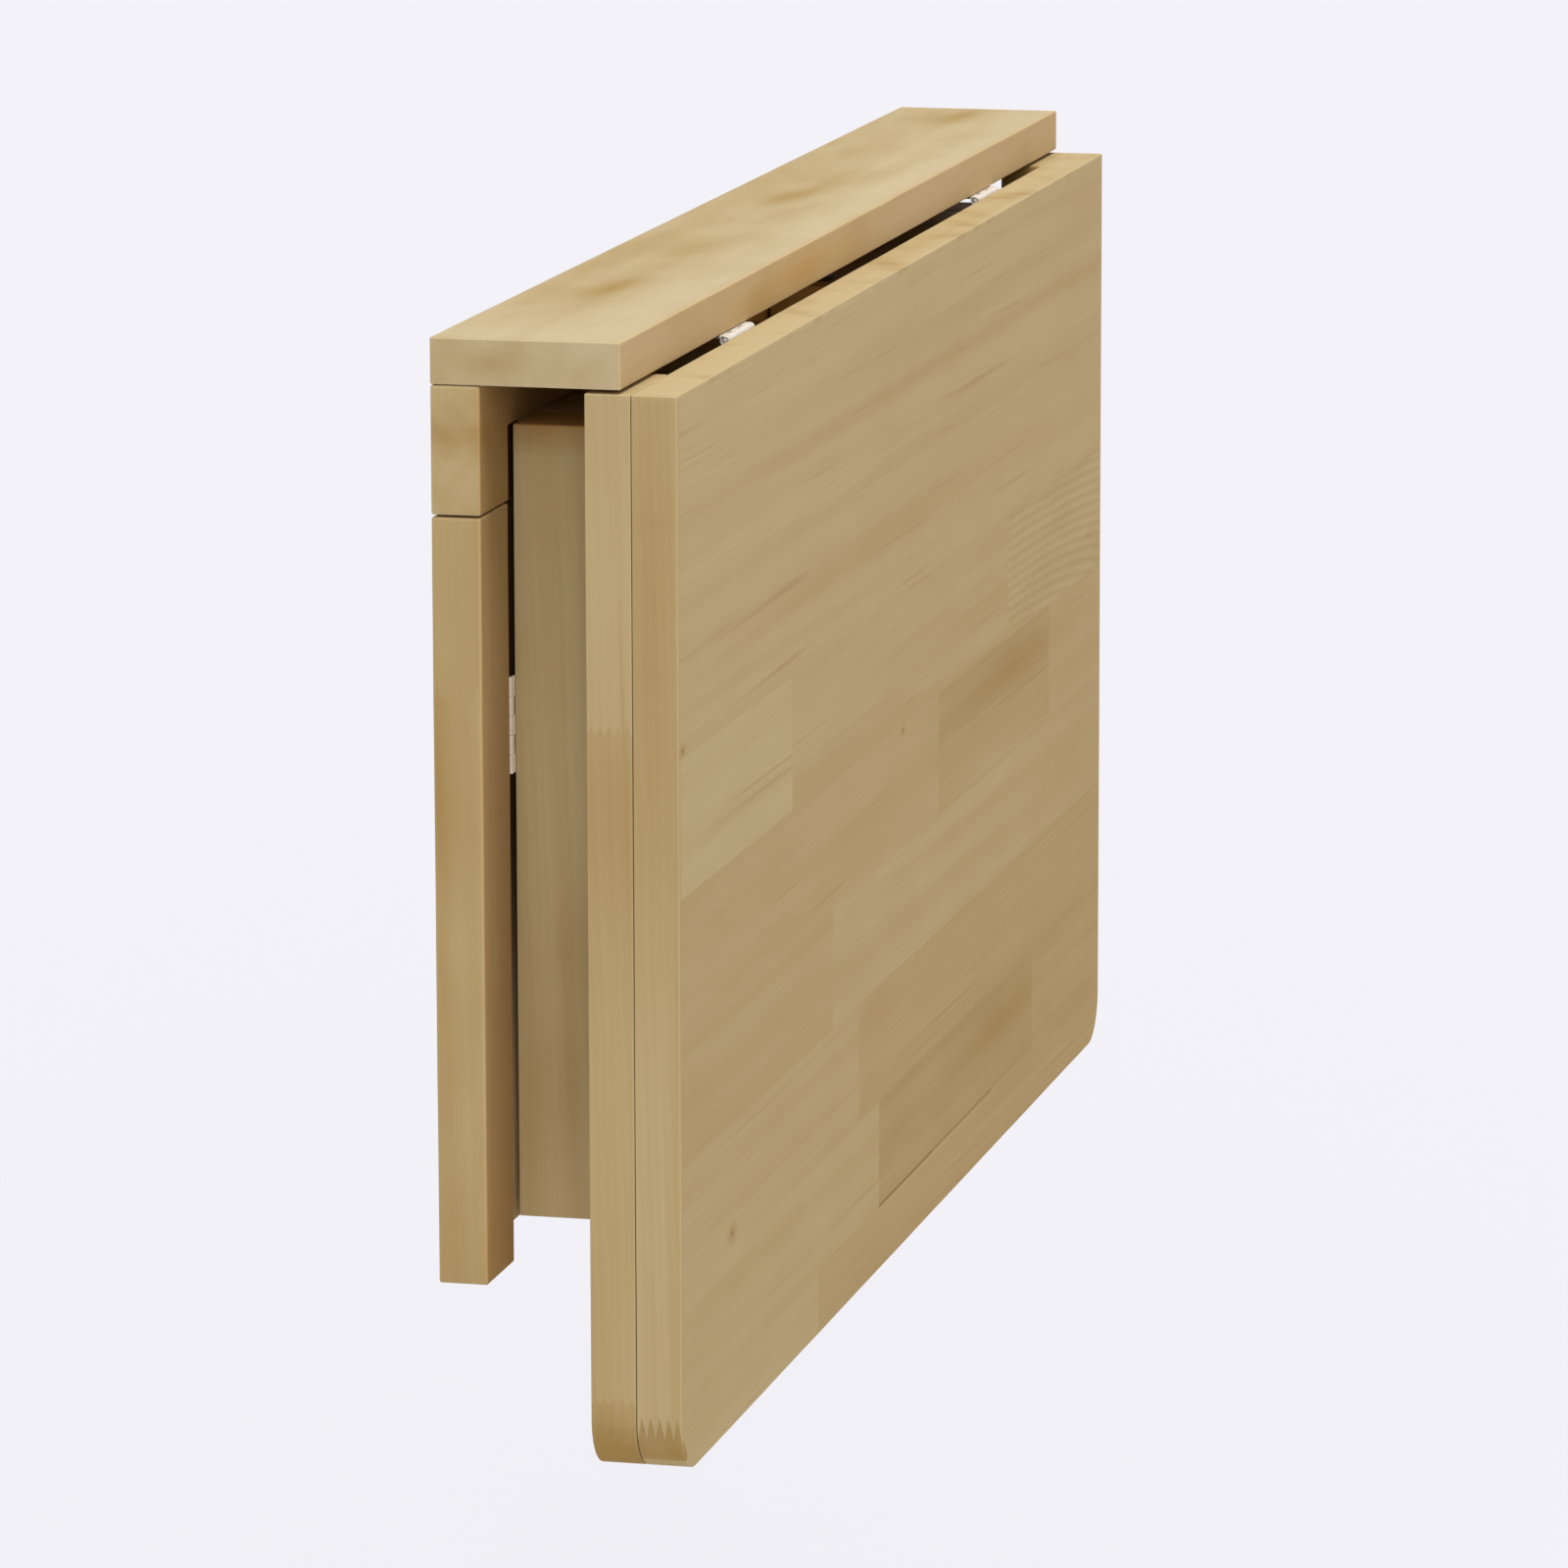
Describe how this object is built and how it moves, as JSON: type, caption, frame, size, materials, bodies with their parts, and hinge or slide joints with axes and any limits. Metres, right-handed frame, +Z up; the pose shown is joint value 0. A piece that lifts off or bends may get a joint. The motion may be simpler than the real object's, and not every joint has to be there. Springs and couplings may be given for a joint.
{
  "type": "wall-mounted folding table",
  "caption": "Pine table on a wall frame: a narrow fixed shelf, a drop leaf that hinges up level with it, and swing gates on the posts that carry the raised leaf.",
  "frame": {"origin": "middle of the back rail's wall face, which is where the table is held to the wall", "axes": "+X along the wall to the right as seen from the room, +Y into the wall, +Z up"},
  "size_m": [0.8, 0.097, 0.4431],
  "materials": {
    "pine_shelf": "satin clear lacquer on glued pine staves",
    "pine_frame": "satin clear lacquer on pine",
    "pine_leaf": "satin clear lacquer on finger-jointed pine staves",
    "pine_gate": "satin clear lacquer on pine",
    "dowel_beech": "plain turned beech",
    "hinge_steel": "zinc-plated",
    "screw_steel": "zinc-plated",
    "pad_felt": "pressed felt"
  },
  "bodies": {
    "wall_frame": {"back_rail": "pine_frame", "left_gate_hinge_pin": "hinge_steel", "left_gate_hinge_post_plate": "hinge_steel", "left_gate_hinge_post_screw_1": "screw_steel", "left_gate_hinge_post_screw_2": "screw_steel", "left_leaf_hinge_pin": "hinge_steel", "left_leaf_hinge_shelf_plate": "hinge_steel", "left_leaf_hinge_shelf_screw_1": "screw_steel", "left_leaf_hinge_shelf_screw_2": "screw_steel", "left_post": "pine_frame", "left_post_dowel_1": "dowel_beech", "left_post_dowel_2": "dowel_beech", "left_post_strip": "pine_frame", "right_gate_hinge_pin": "hinge_steel", "right_gate_hinge_post_plate": "hinge_steel", "right_gate_hinge_post_screw_1": "screw_steel", "right_gate_hinge_post_screw_2": "screw_steel", "right_leaf_hinge_pin": "hinge_steel", "right_leaf_hinge_shelf_plate": "hinge_steel", "right_leaf_hinge_shelf_screw_1": "screw_steel", "right_leaf_hinge_shelf_screw_2": "screw_steel", "right_post": "pine_frame", "right_post_dowel_1": "dowel_beech", "right_post_dowel_2": "dowel_beech", "right_post_strip": "pine_frame", "shelf_dowel_1": "dowel_beech", "shelf_dowel_2": "dowel_beech", "shelf_dowel_3": "dowel_beech", "shelf_dowel_4": "dowel_beech", "top_shelf": "pine_shelf"},
    "drop_leaf": {"leaf_board": "pine_leaf", "leaf_front_batten": "pine_leaf", "leaf_left_batten": "pine_leaf", "leaf_right_batten": "pine_leaf", "left_leaf_hinge_board_plate": "hinge_steel", "left_leaf_hinge_board_screw_1": "screw_steel", "left_leaf_hinge_board_screw_2": "screw_steel", "right_leaf_hinge_board_plate": "hinge_steel", "right_leaf_hinge_board_screw_1": "screw_steel", "right_leaf_hinge_board_screw_2": "screw_steel"},
    "left_gate": {"left_gate_arm": "pine_gate", "left_gate_arm_dowel": "dowel_beech", "left_gate_brace": "pine_gate", "left_gate_foot_dowel": "dowel_beech", "left_gate_hinge_stile_plate": "hinge_steel", "left_gate_hinge_stile_screw_1": "screw_steel", "left_gate_hinge_stile_screw_2": "screw_steel", "left_gate_pad": "pad_felt", "left_gate_stile": "pine_gate", "left_gate_tip_dowel": "dowel_beech"},
    "right_gate": {"right_gate_arm": "pine_gate", "right_gate_arm_dowel": "dowel_beech", "right_gate_brace": "pine_gate", "right_gate_foot_dowel": "dowel_beech", "right_gate_hinge_stile_plate": "hinge_steel", "right_gate_hinge_stile_screw_1": "screw_steel", "right_gate_hinge_stile_screw_2": "screw_steel", "right_gate_pad": "pad_felt", "right_gate_stile": "pine_gate", "right_gate_tip_dowel": "dowel_beech"}
  },
  "joints": [
    {"name": "leaf_lift", "type": "hinge", "parent": "wall_frame", "child": "drop_leaf", "pos_m": [0, -0.0767, 0.023], "axis": [-1, 0, 0], "range_deg": [0, 90]},
    {"name": "left_gate_swing", "type": "hinge", "parent": "wall_frame", "child": "left_gate", "pos_m": [-0.3587, -0.0183, -0.1133], "axis": [0, 0, -1], "range_deg": [0, 4.8]},
    {"name": "right_gate_swing", "type": "hinge", "parent": "wall_frame", "child": "right_gate", "pos_m": [0.3587, -0.0183, -0.1133], "axis": [0, 0, 1], "range_deg": [0, 4.8]}
  ]
}
